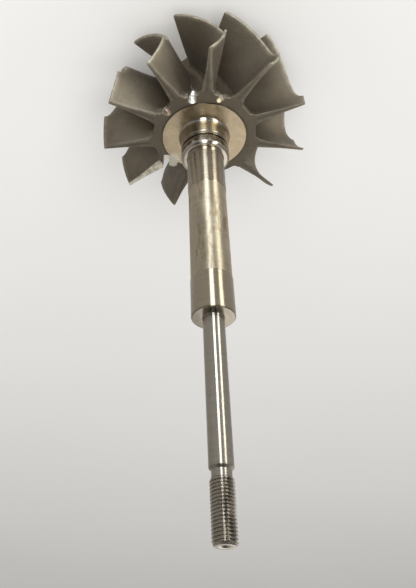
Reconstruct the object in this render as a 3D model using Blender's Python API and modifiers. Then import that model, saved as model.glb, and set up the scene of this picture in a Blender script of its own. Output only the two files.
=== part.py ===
"""Turbine rotor of a large turbocharger: a cast turbine wheel on its turned steel shaft.

The shaft's axis is Z, with the thread up.  The rotor stands on the hexagon at the wheel's nose,
which is at Z = 0.  Places on the wheel are depths below its machined back face, and places on
the shaft are heights above it.
"""

import math

import bmesh
import bpy
from mathutils import Matrix

MM = 0.001
GAP = 0.3 * MM
MERGE_DISTANCE = 0.01 * MM
SMOOTH_ANGLE = math.radians(35.0)
BACK_FACE_Z = 53.5 * MM

# Blades
BLADE_COUNT = 11
BLADE_PHASE = math.radians(90.4)
BLADE_PITCH = math.tau / BLADE_COUNT
TIP_RADIUS = 49.0 * MM
INLET_DEPTH = 14.5 * MM
EXIT_RADIUS = 43.1 * MM
EXIT_DEPTH = 40.9 * MM
SHROUD_POWER = 2.33
TURN_TERMS = (-40.8, 38.05, 22.3)
ROOT_THICKNESS = 3.2 * MM
TIP_THICKNESS = 1.1 * MM
THICK_RADIUS = 22.0 * MM
SECTION_DEPTHS_MM = (0, 1.6, 3.3, 4.2, 5.6, 8, 11, 14.5, 15.1, 16.5, 19, 22.5, 26.5, 30.5, 34, 37.5, 40.9)
SECTION_SPANS = (0.0, 0.2, 0.45, 0.72, 1.0)

# Hub
HUB_EXIT_RADIUS = 13.6 * MM
HUB_RIM_RADIUS = 27.5 * MM
HUB_RIM_DEPTH = 3.0 * MM
HUB_BACK_DEPTH = 0.4 * MM
HUB_EDGE = 0.4 * MM
HUB_DEPTHS_MM = (3.0, 3.5, 4.2, 5.6, 8, 11, 14.5, 19, 26.5, 34, 40.4)

# Plain nose of the hub beyond the blades, and the hexagon at its end
NOSE_DEPTH = 48.0 * MM
NOSE_ACROSS_FLATS = 24.0 * MM
NOSE_TURN = math.radians(8.0)
NOSE_CORNER = 0.5 * MM
NOSE_CHAMFER = 0.8 * MM

# Dished scallops between the blades, whose width and reach shrink with depth
SCALLOP_BOTTOM = 23.8 * MM
SCALLOP_RADIUS = 7.4 * MM
SCALLOP_DEPTH = 7.0 * MM
SCALLOP_SLOPE = 0.95
SCALLOP_SEGMENTS = 36
CUTTER_RISE = 1.0 * MM

# Cuts ground into three scallops when the rotor was balanced
CUT_SCALLOPS = (0, 1, 10)
CUT_BOTTOM = 20.9 * MM
CUT_LENGTH = 8.0 * MM
CUT_WIDTH = 3.8 * MM
CUT_DEPTH = 14.5 * MM

# Notch ground across the root of one blade
NOTCHED_BLADE = 4
NOTCH_CENTRE = (-17.9 * MM, -16.6 * MM)
NOTCH_LENGTH = 10.0 * MM
NOTCH_WIDTH = 2.8 * MM
NOTCH_DEPTH = 3.9 * MM
CORNER_SHARE = 0.48
CORNER_SEGMENTS = 5

# Machined ring on the wheel's back, and the seal boss inside it
RING_RADIUS = 19.9 * MM
RING_THICKNESS = 2.0 * MM
RING_EDGE = 0.3 * MM
BOSS_BASE_RADIUS = 12.0 * MM
BOSS_FILLET_HEIGHT = 2.4 * MM
BOSS_FILLET_STEPS = 4
BOSS_RADIUS = 11.1 * MM
BOSS_HEIGHT = 15.9 * MM
BOSS_CHAMFER = 0.9 * MM
SEAL_GROOVE_RADIUS = 9.3 * MM
SEAL_GROOVE_START = 9.5 * MM
SEAL_GROOVE_END = 10.8 * MM

# Shaft
JOURNAL_RADIUS = 8.35 * MM
JOURNAL_CHAMFER = 0.4 * MM
UNDERCUT_RADIUS = 8.05 * MM
UNDERCUT_END = 18.3 * MM
RELIEF_RADIUS = 8.15 * MM
RELIEF_START = 37.4 * MM
RELIEF_END = 85.0 * MM
JOURNAL_END = 102.2 * MM
STUB_RADIUS = 4.08 * MM
STUB_END = 157.3 * MM
NECK_RADIUS = 3.3 * MM
THREAD_RADIUS = 3.97 * MM
THREAD_ROOT_RADIUS = 3.36 * MM
THREAD_PITCH = 1.058 * MM
THREAD_START = 160.4 * MM
THREAD_END = 179.8 * MM
THREAD_CHAMFER = 0.7 * MM
THREAD_COLUMNS = 24
THREAD_LEAD_IN = 1.45
BLANK_CLEARANCE = 0.2 * MM
CENTRE_HOLE_RADIUS = 1.4 * MM
CENTRE_HOLE_DEPTH = 2.4 * MM

SHAFT_STEPS = 44
WHEEL_STEPS = 88

# Surface colours, as red, green and blue, and roughness
CAST_FINISH = ((0.16, 0.145, 0.125), 0.62)
TAN_FINISH = ((0.52, 0.44, 0.33), 0.45)
POLISHED_FINISH = ((0.30, 0.27, 0.24), 0.22)
GROUND_FINISH = ((0.42, 0.39, 0.34), 0.24)
RELIEVED_FINISH = ((0.38, 0.34, 0.27), 0.38)
BRIGHT_FINISH = ((0.50, 0.48, 0.44), 0.25)


def clear_scene():
    for item in list(bpy.data.objects):
        bpy.data.objects.remove(item, do_unlink=True)


def new_collection(name):
    group = bpy.data.collections.new(name)
    bpy.context.scene.collection.children.link(group)
    return group


def metal(name, finish):
    colour, roughness = finish
    material = bpy.data.materials.new(name)
    material.use_nodes = True
    shader = material.node_tree.nodes["Principled BSDF"]
    shader.inputs["Base Color"].default_value = (*colour, 1.0)
    shader.inputs["Roughness"].default_value = roughness
    shader.inputs["Metallic"].default_value = 1.0
    material.diffuse_color = (*colour, 1.0)
    return material


def add_object(name, mesh, group, material=None):
    item = bpy.data.objects.new(name, mesh)
    group.objects.link(item)
    if material:
        mesh.materials.append(material)
    return item


def finished_mesh(name, shape):
    """Mesh of a bmesh, smooth except at its sharp edges."""
    bmesh.ops.recalc_face_normals(shape, faces=shape.faces)
    mesh = bpy.data.meshes.new(name)
    shape.to_mesh(mesh)
    shape.free()
    mesh.shade_smooth()
    mesh.set_sharp_from_angle(angle=SMOOTH_ANGLE)
    return mesh


def above(height):
    """Z of a place on the shaft."""
    return BACK_FACE_Z + height


def below(depth):
    """Z of a place on the wheel."""
    return BACK_FACE_Z - depth


def turned(name, outline, group, material, steps=SHAFT_STEPS, closed=False):
    """Turn an outline of (radius, Z) points, listed down its outer side, about the Z axis."""
    points = [(radius, 0.0, z) for radius, z in outline]
    edges = [(i, i + 1) for i in range(len(points) - 1)]
    if closed:
        edges.append((len(points) - 1, 0))
    mesh = bpy.data.meshes.new(name)
    mesh.from_pydata(points, edges, [])
    item = add_object(name, mesh, group, material)
    screw = item.modifiers.new("Turn", "SCREW")
    screw.axis = "Z"
    screw.angle = math.tau
    screw.steps = steps
    screw.render_steps = steps
    screw.use_merge_vertices = True
    screw.merge_threshold = MERGE_DISTANCE
    return item


def plain_cylinder(name, radius, start, end, chamfer, group, material):
    """Length of shaft between two heights, with a chamfer at its upper end."""
    outline = [
        (0.0, above(end)),
        (radius - chamfer, above(end)),
        (radius, above(end - chamfer)),
        (radius, above(start + GAP)),
        (0.0, above(start + GAP)),
    ]
    return turned(name, outline, group, material)


def blade_turn(depth):
    """Angle by which a blade has turned about the axis at a depth below the back face."""
    part = depth / EXIT_DEPTH
    first, second, third = TURN_TERMS
    return math.radians(first * part + second * part**2 + third * part**3)


def turn_rate(depth):
    step = 0.01 * MM
    return (blade_turn(depth + step) - blade_turn(depth - step)) / (2.0 * step)


def tip_radius(depth):
    """Outer edge of a blade: the upright inlet edge, then the curve that clears the shroud."""
    if depth <= INLET_DEPTH:
        return TIP_RADIUS
    part = max(0.0, (EXIT_DEPTH - depth) / (EXIT_DEPTH - INLET_DEPTH))
    drop = (1.0 - part**SHROUD_POWER) ** (1.0 / SHROUD_POWER)
    return TIP_RADIUS - (TIP_RADIUS - EXIT_RADIUS) * drop


def hub_radius(depth):
    """Hub surface between the blades: a quarter ellipse from the rim down to the exit."""
    part = (EXIT_DEPTH - depth) / (EXIT_DEPTH - HUB_RIM_DEPTH)
    part = min(max(part, 0.0), 1.0)
    rise = 1.0 - math.sqrt(1.0 - part**2)
    return HUB_EXIT_RADIUS + (HUB_RIM_RADIUS - HUB_EXIT_RADIUS) * rise


def blade_half_angle(radius, depth):
    """Half of a blade's thickness, as an angle about the axis."""
    part = (radius - THICK_RADIUS) / (TIP_RADIUS - THICK_RADIUS)
    part = min(max(part, 0.0), 1.0)
    thickness = ROOT_THICKNESS + (TIP_THICKNESS - ROOT_THICKNESS) * part
    slope = math.atan(radius * turn_rate(depth))
    return 0.5 * thickness / math.cos(slope) / radius


def blade_section(depth):
    """Closed row of points round a blade where a plane across the axis cuts it."""
    root = hub_radius(depth - GAP) + GAP
    tip = tip_radius(depth)
    sides = {-1: [], 1: []}
    for span in SECTION_SPANS:
        radius = root + (tip - root) * span
        for side, row in sides.items():
            angle = blade_turn(depth) + side * blade_half_angle(radius, depth)
            row.append((radius * math.cos(angle), radius * math.sin(angle), below(depth)))
    return sides[-1] + sides[1][::-1]


def blade_mesh():
    """Loft between sections that differ in length, turn and thickness."""
    shape = bmesh.new()
    rings = []
    for depth in SECTION_DEPTHS_MM:
        rings.append([shape.verts.new(point) for point in blade_section(depth * MM)])
    count = len(rings[0])
    for upper, lower in zip(rings, rings[1:]):
        for i in range(count):
            j = (i + 1) % count
            shape.faces.new((upper[i], upper[j], lower[j], lower[i]))
    for ring in (rings[0], rings[-1]):
        for i in range(count // 2 - 1):
            shape.faces.new((ring[i], ring[i + 1], ring[count - 2 - i], ring[count - 1 - i]))
    return finished_mesh("blade", shape)


def add_blades(group, notch, material):
    mesh = blade_mesh()
    mesh.materials.append(material)
    for index in range(BLADE_COUNT):
        blade = add_object(f"blade_{index + 1:02d}", mesh, group)
        blade.rotation_euler.z = BLADE_PHASE + index * BLADE_PITCH
        if index == NOTCHED_BLADE:
            cut(blade, notch)


def scallop_angle(index):
    """Middle of the gap that follows a blade, counted as the blades are."""
    return BLADE_PHASE + (index + 0.5) * BLADE_PITCH


def add_cutter(name, shape, group):
    cutter = add_object(name, finished_mesh(name, shape), group)
    cutter.hide_render = True
    cutter.display_type = "WIRE"
    return cutter


def scallop_cutter(group):
    """Cones, wide end up, that dish the hub's back plate away between the blades."""
    height = SCALLOP_DEPTH + CUTTER_RISE
    shape = bmesh.new()
    for index in range(BLADE_COUNT):
        place = Matrix.Rotation(scallop_angle(index), 4, "Z")
        middle = below(0.5 * height - CUTTER_RISE)
        place @= Matrix.Translation((SCALLOP_BOTTOM + SCALLOP_RADIUS, 0.0, middle))
        bmesh.ops.create_cone(
            shape,
            cap_ends=True,
            segments=SCALLOP_SEGMENTS,
            radius1=SCALLOP_RADIUS - SCALLOP_SLOPE * SCALLOP_DEPTH,
            radius2=SCALLOP_RADIUS + SCALLOP_SLOPE * CUTTER_RISE,
            depth=height,
            matrix=place,
        )
    return add_cutter("scallops", shape, group)


def slot_cutter(name, length, width, depth, group):
    """Upright block with rounded corners, which reaches down from just above the back face."""
    height = depth + CUTTER_RISE
    shape = bmesh.new()
    bmesh.ops.create_cube(shape, size=1.0, matrix=Matrix.Diagonal((length, width, height, 1.0)))
    upright = [edge for edge in shape.edges if edge.verts[0].co.xy == edge.verts[1].co.xy]
    corner = CORNER_SHARE * min(length, width)
    bmesh.ops.bevel(
        shape, geom=upright, offset=corner, segments=CORNER_SEGMENTS, profile=0.5, affect="EDGES"
    )
    cutter = add_cutter(name, shape, group)
    cutter.location.z = below(0.5 * height - CUTTER_RISE)
    return cutter


def balance_cutter(index, group):
    """Slot through the back plate, at the bottom of one scallop."""
    cutter = slot_cutter(f"balance_cut_{index}", CUT_LENGTH, CUT_WIDTH, CUT_DEPTH, group)
    angle = scallop_angle(index)
    reach = CUT_BOTTOM + 0.5 * CUT_LENGTH
    cutter.location.xy = (reach * math.cos(angle), reach * math.sin(angle))
    cutter.rotation_euler.z = angle
    return cutter


def notch_cutter(group):
    cutter = slot_cutter("root_notch", NOTCH_WIDTH, NOTCH_LENGTH, NOTCH_DEPTH, group)
    cutter.location.xy = NOTCH_CENTRE
    return cutter


def cut(item, cutter, operation="DIFFERENCE"):
    boolean = item.modifiers.new(cutter.name, "BOOLEAN")
    boolean.operation = operation
    boolean.object = cutter
    boolean.solver = "EXACT"


def add_hub(group, cutters, notch, material):
    seat = below(RING_THICKNESS + GAP)
    outline = [
        (0.0, seat),
        (RING_RADIUS + GAP, seat),
        (RING_RADIUS + GAP, below(HUB_BACK_DEPTH)),
        (HUB_RIM_RADIUS - HUB_EDGE, below(HUB_BACK_DEPTH)),
        (HUB_RIM_RADIUS, below(HUB_BACK_DEPTH + HUB_EDGE)),
    ]
    outline += [(hub_radius(depth * MM), below(depth * MM)) for depth in HUB_DEPTHS_MM]
    outline += [
        (HUB_EXIT_RADIUS, below(NOSE_DEPTH - HUB_EDGE)),
        (HUB_EXIT_RADIUS - HUB_EDGE, below(NOSE_DEPTH)),
        (0.0, below(NOSE_DEPTH)),
    ]
    hub = turned("wheel_hub", outline, group, material, steps=WHEEL_STEPS)
    cut(hub, scallop_cutter(cutters))
    for index in CUT_SCALLOPS:
        cut(hub, balance_cutter(index, cutters))
    cut(hub, notch)


def add_nose(group, material):
    """Hexagon by which the wheel is held, chamfered where the rotor stands on it."""
    height = below(NOSE_DEPTH) - GAP
    corner = 0.5 * NOSE_ACROSS_FLATS / math.cos(math.pi / 6)
    place = Matrix.Translation((0.0, 0.0, 0.5 * height)) @ Matrix.Rotation(NOSE_TURN, 4, "Z")
    shape = bmesh.new()
    bmesh.ops.create_cone(
        shape,
        cap_ends=True,
        segments=6,
        radius1=corner,
        radius2=corner,
        depth=height,
        matrix=place,
    )
    sides = [edge for edge in shape.edges if abs(edge.verts[0].co.z - edge.verts[1].co.z) > 0.5 * height]
    bmesh.ops.bevel(shape, geom=sides, offset=NOSE_CORNER, segments=2, profile=0.5, affect="EDGES")
    foot = [edge for edge in shape.edges if all(vert.co.z < 0.5 * height for vert in edge.verts)]
    bmesh.ops.bevel(shape, geom=foot, offset=NOSE_CHAMFER, segments=1, affect="EDGES")
    add_object("nose_hexagon", finished_mesh("nose_hexagon", shape), group, material)


def add_back_ring(group, material):
    bore = BOSS_BASE_RADIUS + GAP
    outline = [
        (bore, above(0.0)),
        (RING_RADIUS - RING_EDGE, above(0.0)),
        (RING_RADIUS, below(RING_EDGE)),
        (RING_RADIUS, below(RING_THICKNESS)),
        (bore, below(RING_THICKNESS)),
    ]
    turned("back_face_ring", outline, group, material, steps=WHEEL_STEPS, closed=True)


def boss_fillet():
    """Quarter of an ellipse from the boss down to its base, as points of radius and height."""
    points = []
    for step in range(BOSS_FILLET_STEPS):
        angle = 0.5 * math.pi * step / (BOSS_FILLET_STEPS - 1)
        radius = BOSS_BASE_RADIUS - (BOSS_BASE_RADIUS - BOSS_RADIUS) * math.cos(angle)
        points.append((radius, above(BOSS_FILLET_HEIGHT * (1.0 - math.sin(angle)))))
    return points


def add_seal_boss(group, material):
    """Boss with a chamfered end, the seal ring's groove and a fillet at its base."""
    outline = [
        (0.0, above(BOSS_HEIGHT)),
        (BOSS_RADIUS - BOSS_CHAMFER, above(BOSS_HEIGHT)),
        (BOSS_RADIUS, above(BOSS_HEIGHT - BOSS_CHAMFER)),
        (BOSS_RADIUS, above(SEAL_GROOVE_END)),
        (SEAL_GROOVE_RADIUS, above(SEAL_GROOVE_END)),
        (SEAL_GROOVE_RADIUS, above(SEAL_GROOVE_START)),
        (BOSS_RADIUS, above(SEAL_GROOVE_START)),
        *boss_fillet(),
        (BOSS_BASE_RADIUS, below(RING_THICKNESS)),
        (0.0, below(RING_THICKNESS)),
    ]
    turned("seal_boss", outline, group, material)


def add_turbine_side_journal(group, material):
    """Journal with the undercut that frees its end from the boss."""
    outline = [
        (0.0, above(RELIEF_START)),
        (JOURNAL_RADIUS, above(RELIEF_START)),
        (JOURNAL_RADIUS, above(UNDERCUT_END)),
        (UNDERCUT_RADIUS, above(UNDERCUT_END - (JOURNAL_RADIUS - UNDERCUT_RADIUS))),
        (UNDERCUT_RADIUS, above(BOSS_HEIGHT + GAP)),
        (0.0, above(BOSS_HEIGHT + GAP)),
    ]
    turned("turbine_side_journal", outline, group, material)


def add_compressor_side_journal(group, material):
    """Journal whose end is the flat shoulder round the stub, which is seated in a shallow recess."""
    outline = [
        (0.0, above(JOURNAL_END - GAP)),
        (STUB_RADIUS + GAP, above(JOURNAL_END - GAP)),
        (STUB_RADIUS + GAP, above(JOURNAL_END)),
        (JOURNAL_RADIUS - JOURNAL_CHAMFER, above(JOURNAL_END)),
        (JOURNAL_RADIUS, above(JOURNAL_END - JOURNAL_CHAMFER)),
        (JOURNAL_RADIUS, above(RELIEF_END + GAP)),
        (0.0, above(RELIEF_END + GAP)),
    ]
    turned("compressor_side_journal", outline, group, material)


def add_stub(group, material):
    end_chamfer = STUB_RADIUS - NECK_RADIUS
    neck_start = STUB_END + end_chamfer
    plain_cylinder("stub_shaft", STUB_RADIUS, JOURNAL_END - GAP, neck_start, end_chamfer, group, material)
    plain_cylinder("thread_neck", NECK_RADIUS, neck_start, THREAD_START, 0.0, group, material)


def thread_column(shape, turn, rows):
    """Crests and roots, by turns, up one side of the thread."""
    bottom = above(THREAD_START) + (turn - THREAD_LEAD_IN) * THREAD_PITCH
    column = []
    for row in range(rows):
        radius = THREAD_ROOT_RADIUS if row % 2 else THREAD_RADIUS
        x = radius * math.cos(math.tau * turn)
        y = radius * math.sin(math.tau * turn)
        column.append(shape.verts.new((x, y, bottom + 0.5 * row * THREAD_PITCH)))
    return column


def thread_ridge(group):
    """Closed right-handed ridge, which runs on past both ends of the threaded part."""
    turns = math.ceil((THREAD_END - THREAD_START) / THREAD_PITCH + 2.0 * THREAD_LEAD_IN)
    shape = bmesh.new()
    columns = []
    for index in range(THREAD_COLUMNS):
        columns.append(thread_column(shape, index / THREAD_COLUMNS, 2 * turns + 1))
    columns.append(columns[0][2:])
    for left, right in zip(columns, columns[1:]):
        for row in range(len(right) - 1):
            shape.faces.new((left[row], right[row], right[row + 1], left[row + 1]))
    open_edges = [edge for edge in shape.edges if edge.is_boundary]
    ends = bmesh.ops.holes_fill(shape, edges=open_edges, sides=0)
    bmesh.ops.poke(shape, faces=ends["faces"])
    return add_cutter("thread_ridge", shape, group)


def add_threaded_end(group, cutters, material):
    """Threaded end with its centre hole: a blank that keeps only what the thread's ridge fills."""
    blank_radius = THREAD_RADIUS + BLANK_CLEARANCE
    outline = [
        (0.0, above(THREAD_END - CENTRE_HOLE_DEPTH)),
        (CENTRE_HOLE_RADIUS, above(THREAD_END)),
        (THREAD_RADIUS - THREAD_CHAMFER, above(THREAD_END)),
        (blank_radius, above(THREAD_END - THREAD_CHAMFER - BLANK_CLEARANCE)),
        (blank_radius, above(THREAD_START + THREAD_CHAMFER + BLANK_CLEARANCE)),
        (NECK_RADIUS, above(THREAD_START + GAP)),
        (0.0, above(THREAD_START + GAP)),
    ]
    threaded = turned("threaded_end", outline, group, material)
    cut(threaded, thread_ridge(cutters), "INTERSECT")


def main():
    clear_scene()
    rotor = new_collection("turbocharger_turbine_wheel")
    cutters = new_collection("cutters")
    cast = metal("cast_alloy", CAST_FINISH)
    ground = metal("ground_journal", GROUND_FINISH)
    bright = metal("bright_stub", BRIGHT_FINISH)
    notch = notch_cutter(cutters)
    add_nose(rotor, cast)
    add_hub(rotor, cutters, notch, cast)
    add_blades(rotor, notch, cast)
    add_back_ring(rotor, metal("machined_back_face", TAN_FINISH))
    add_seal_boss(rotor, metal("polished_boss", POLISHED_FINISH))
    add_turbine_side_journal(rotor, ground)
    relieved = metal("stained_relief", RELIEVED_FINISH)
    plain_cylinder("relieved_middle", RELIEF_RADIUS, RELIEF_START, RELIEF_END, 0.0, rotor, relieved)
    add_compressor_side_journal(rotor, ground)
    add_stub(rotor, bright)
    add_threaded_end(rotor, cutters, bright)


main()
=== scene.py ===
"""Visual model of a large turbocharger's turbine rotor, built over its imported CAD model.

The shaft's axis is Z, with the thread up, and the rotor stands on the hexagon at the wheel's
nose.  Places on the wheel are depths below its machined back face, and places on the shaft are
heights above it.
"""

import math

import bmesh
import bpy
from bpy.props import FloatProperty, FloatVectorProperty, IntProperty, PointerProperty
from mathutils import Matrix, Vector


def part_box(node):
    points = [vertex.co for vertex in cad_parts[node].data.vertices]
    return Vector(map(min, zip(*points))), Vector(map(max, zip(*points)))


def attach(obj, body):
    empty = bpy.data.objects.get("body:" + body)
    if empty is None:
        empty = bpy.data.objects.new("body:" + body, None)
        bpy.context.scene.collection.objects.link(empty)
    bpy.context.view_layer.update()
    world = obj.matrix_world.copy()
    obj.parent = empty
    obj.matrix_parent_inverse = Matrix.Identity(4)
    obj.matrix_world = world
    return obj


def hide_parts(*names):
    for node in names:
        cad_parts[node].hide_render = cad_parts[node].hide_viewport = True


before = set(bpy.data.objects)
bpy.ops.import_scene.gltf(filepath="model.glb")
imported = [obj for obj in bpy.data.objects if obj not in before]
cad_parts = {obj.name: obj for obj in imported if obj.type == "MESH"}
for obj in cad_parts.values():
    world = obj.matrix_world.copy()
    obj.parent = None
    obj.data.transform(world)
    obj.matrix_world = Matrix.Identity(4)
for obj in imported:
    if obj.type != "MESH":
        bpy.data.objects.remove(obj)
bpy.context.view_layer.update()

bl_info = {
    "name": "Turbocharger turbine rotor",
    "version": (1, 0, 0),
    "blender": (4, 5, 0),
    "location": "View3D > Sidebar > Rotor",
    "description": "Builds a cast turbine wheel on its turned shaft, and a plain studio round it",
    "category": "Object",
}

MM = 0.001
MERGE_DISTANCE = 0.002 * MM
SMOOTH_ANGLE = math.radians(38.0)

# Height of the machined back face, the datum of the wheel, the shaft and the stage
BACK_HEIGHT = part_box("back_face_ring")[1][2]

# Turn of a blade about the axis, in degrees, as a cubic of its part of the exit's depth
TURN_TERMS = (-40.8, 38.05, 22.3)
SHROUD_POWER = 2.33


def length(name, description, millimetres):
    """Setting that is a length, given in millimetres and kept in metres."""
    return FloatProperty(
        name=name, description=description, default=millimetres * MM, min=0.0, precision=5, unit="LENGTH"
    )


def degrees(name, description, default):
    """Setting that is an angle, given in degrees and kept in radians."""
    return FloatProperty(name=name, description=description, default=math.radians(default), subtype="ANGLE")


def number(name, description, default):
    """Setting that is a plain number."""
    return FloatProperty(name=name, description=description, default=default)


def triple(name, description, default, **kinds):
    """Setting that is a place or a direction."""
    return FloatVectorProperty(name=name, description=description, default=default, precision=5, **kinds)


class RotorWheelSettings(bpy.types.PropertyGroup):
    """Sizes of the cast wheel."""

    blade_count: IntProperty(name="Blades", description="Number of blades", default=11, min=3)
    phase: degrees("First blade", "Angle of the first blade's back edge about the axis", 90.4)
    back_height: length("Back face", "Height of the machined back face", BACK_HEIGHT / MM)
    tip_radius: length("Tip radius", "Radius of the blades' upright inlet edge", 49.0)
    inlet_depth: length("Inlet depth", "Depth at which the inlet edge ends", 14.5)
    exit_radius: length("Exit radius", "Radius of the blades' tips at the exit", 43.1)
    exit_depth: length("Exit depth", "Depth of the blades' trailing edge", 40.9)
    root_thickness: length("Root thickness", "Thickness of a blade at its root", 3.2)
    tip_thickness: length("Tip thickness", "Thickness of a blade at its tip", 1.1)
    thick_radius: length("Thick radius", "Radius inside which a blade is at its thickest", 22.0)
    hub_exit_radius: length("Hub exit radius", "Radius of the hub at the exit and of its plain nose", 13.6)
    hub_rim_radius: length("Hub rim radius", "Radius at which the hub's curve starts", 27.5)
    hub_rim_depth: length("Hub rim depth", "Depth at which the hub's curve starts", 3.0)
    web_depth: length("Web depth", "Depth of the cast web below the machined ring", 0.4)
    web_edge: length("Web edge", "Rounding of the web's edge", 0.5)
    fillet: length("Root fillet", "Radius of the fillet along each blade's root", 3.0)
    corner: length("Scallop corner", "Radius of the corners of the scallops", 2.2)
    scallop_bottom: length("Scallop bottom", "Radius of the back plate between the ribs", 24.5)
    rib_extra: length("Rib swelling", "Extra thickness of a rib on each side, at the scallops", 1.0)
    rib_depth: length("Rib depth", "Depth at which the ribs have thinned to the blades", 7.5)
    ring_radius: length("Ring radius", "Radius of the machined ring on the back", 19.9)
    nose_depth: length("Nose depth", "Depth at which the hub's plain nose ends", 48.0)
    nose_flats: length("Nose across flats", "Size of the hexagon at the nose", 24.0)
    nose_turn: degrees("Nose turn", "Turn of the hexagon's first flat about the axis", 8.0)


class RotorShaftSettings(bpy.types.PropertyGroup):
    """Sizes of the turned shaft."""

    boss_base_radius: length("Boss base radius", "Radius of the seal boss at its foot", 12.0)
    boss_radius: length("Boss radius", "Radius of the seal boss", 11.1)
    boss_height: length("Boss height", "Height of the seal boss's end", 15.9)
    groove_radius: length("Seal groove radius", "Radius of the bottom of the seal ring's groove", 9.3)
    groove_start: length("Seal groove start", "Height at which the seal groove starts", 9.5)
    groove_end: length("Seal groove end", "Height at which the seal groove ends", 10.8)
    journal_radius: length("Journal radius", "Radius of the two bearing journals", 8.35)
    undercut_radius: length("Undercut radius", "Radius of the undercut beside the boss", 8.05)
    undercut_end: length("Undercut end", "Height at which the undercut ends", 18.3)
    relief_radius: length("Relief radius", "Radius of the shaft between the journals", 8.15)
    relief_start: length("Relief start", "Height at which the relief starts", 37.4)
    relief_end: length("Relief end", "Height at which the relief ends", 85.0)
    journal_end: length("Journal end", "Height of the flat shoulder round the stub", 102.2)
    stub_radius: length("Stub radius", "Radius of the stub that carries the compressor wheel", 4.08)
    stub_end: length("Stub end", "Height at which the stub ends", 157.3)
    neck_radius: length("Neck radius", "Radius of the neck below the thread", 3.3)
    thread_radius: length("Thread radius", "Radius of the thread's crests", 3.97)
    thread_root: length("Thread root radius", "Radius of the thread's roots", 3.36)
    thread_pitch: length("Thread pitch", "Distance between two crests", 1.058)
    thread_start: length("Thread start", "Height at which the thread starts", 160.4)
    thread_end: length("Thread end", "Height of the thread's end", 179.8)
    first_crest: length("First crest", "Height of a crest on the +Y side", 161.26)
    hole_radius: length("Centre hole radius", "Radius of the centre hole in the thread's end", 1.4)
    hole_depth: length("Centre hole depth", "Depth of the centre hole", 2.4)


class RotorStageSettings(bpy.types.PropertyGroup):
    """Camera and lights."""

    camera_place: triple(
        "Camera",
        "Place of the camera",
        (-0.01853, 0.19197, BACK_HEIGHT + 0.22665),
        subtype="TRANSLATION",
        unit="LENGTH",
    )
    camera_right: triple(
        "Camera's right",
        "Direction that points right in the picture",
        (0.9999, 0.0, -0.01441),
        subtype="DIRECTION",
    )
    camera_up: triple(
        "Camera's up",
        "Direction that points up in the picture",
        (-0.01095, 0.65062, -0.75932),
        subtype="DIRECTION",
    )
    lens: number("Lens", "Focal length in millimetres", 37.48)
    shift_x: number("Shift X", "Sideways shift of the lens", 0.0838)
    shift_y: number("Shift Y", "Upward shift of the lens", -0.0991)
    world_strength: number("World", "Strength of the world", 0.5)
    overhead_power: number("Overhead light", "Power of the overhead light in watts", 16.0)
    card_power: number("Card", "Power of the card that level faces mirror, in watts", 1.45)
    strip_power: number("Strip lights", "Power of the brighter strip light in watts", 0.188)


# Materials


class NodeBuilder:
    """Adds nodes to a tree, each with its inputs linked or set by name."""

    def __init__(self, tree):
        self.tree = tree

    def add(self, kind, inputs=None, **settings):
        node = self.tree.nodes.new(kind)
        for name, value in settings.items():
            setattr(node, name, value)
        for key, value in (inputs or {}).items():
            if isinstance(value, bpy.types.NodeSocket):
                self.tree.links.new(value, node.inputs[key])
            else:
                node.inputs[key].default_value = value
        return node

    def noise(self, vector, scale, detail=4.0, roughness=0.5):
        inputs = {"Vector": vector, "Scale": scale, "Detail": detail, "Roughness": roughness}
        return self.add("ShaderNodeTexNoise", inputs).outputs["Fac"]

    def rings(self, place, per_metre, detail=3.0):
        """Noise that changes only with one number, such as a distance from the axis."""
        scaled = self.math("MULTIPLY", place, per_metre)
        inputs = {"W": scaled, "Scale": 1.0, "Detail": detail}
        return self.add("ShaderNodeTexNoise", inputs, noise_dimensions="1D").outputs["Fac"]

    def math(self, operation, first, second):
        return self.add("ShaderNodeMath", {0: first, 1: second}, operation=operation).outputs[0]

    def band(self, value, low, high, to_low=0.0, to_high=1.0):
        """Smooth step of a value between two limits."""
        inputs = {"Value": value, "From Min": low, "From Max": high, "To Min": to_low, "To Max": to_high}
        node = self.add("ShaderNodeMapRange", inputs, interpolation_type="SMOOTHSTEP")
        return node.outputs["Result"]

    def mix(self, factor, first, second):
        """Blend of two colours."""
        node = self.add("ShaderNodeMix", data_type="RGBA")
        for socket, value in zip((node.inputs[0], node.inputs[6], node.inputs[7]), (factor, first, second)):
            if isinstance(value, bpy.types.NodeSocket):
                self.tree.links.new(value, socket)
            elif isinstance(value, tuple):
                socket.default_value = (*value, 1.0)
            else:
                socket.default_value = value
        return node.outputs[2]

    def bump(self, height, distance, strength, normal=None):
        inputs = {"Height": height, "Distance": distance, "Strength": strength}
        if normal:
            inputs["Normal"] = normal
        return self.add("ShaderNodeBump", inputs).outputs["Normal"]

    def scaled(self, vector, factors):
        return self.add("ShaderNodeVectorMath", {0: vector, 1: factors}, operation="MULTIPLY").outputs[0]

    def size(self, vector):
        return self.add("ShaderNodeVectorMath", {0: vector}, operation="LENGTH").outputs["Value"]

    def along(self, vector, way):
        inputs = {0: vector, 1: way}
        return self.add("ShaderNodeVectorMath", inputs, operation="DOT_PRODUCT").outputs["Value"]

    def from_axis(self, vector):
        """Distance of a point from the Z axis."""
        return self.size(self.scaled(vector, (1.0, 1.0, 0.0)))

    def attribute(self, name):
        return self.add("ShaderNodeAttribute", attribute_name=name).outputs["Fac"]


def new_material(name):
    material = bpy.data.materials.new(name)
    material.use_nodes = True
    nodes = NodeBuilder(material.node_tree)
    shader = material.node_tree.nodes["Principled BSDF"]
    coords = nodes.add("ShaderNodeTexCoord").outputs["Object"]
    return material, nodes, shader, coords


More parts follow.
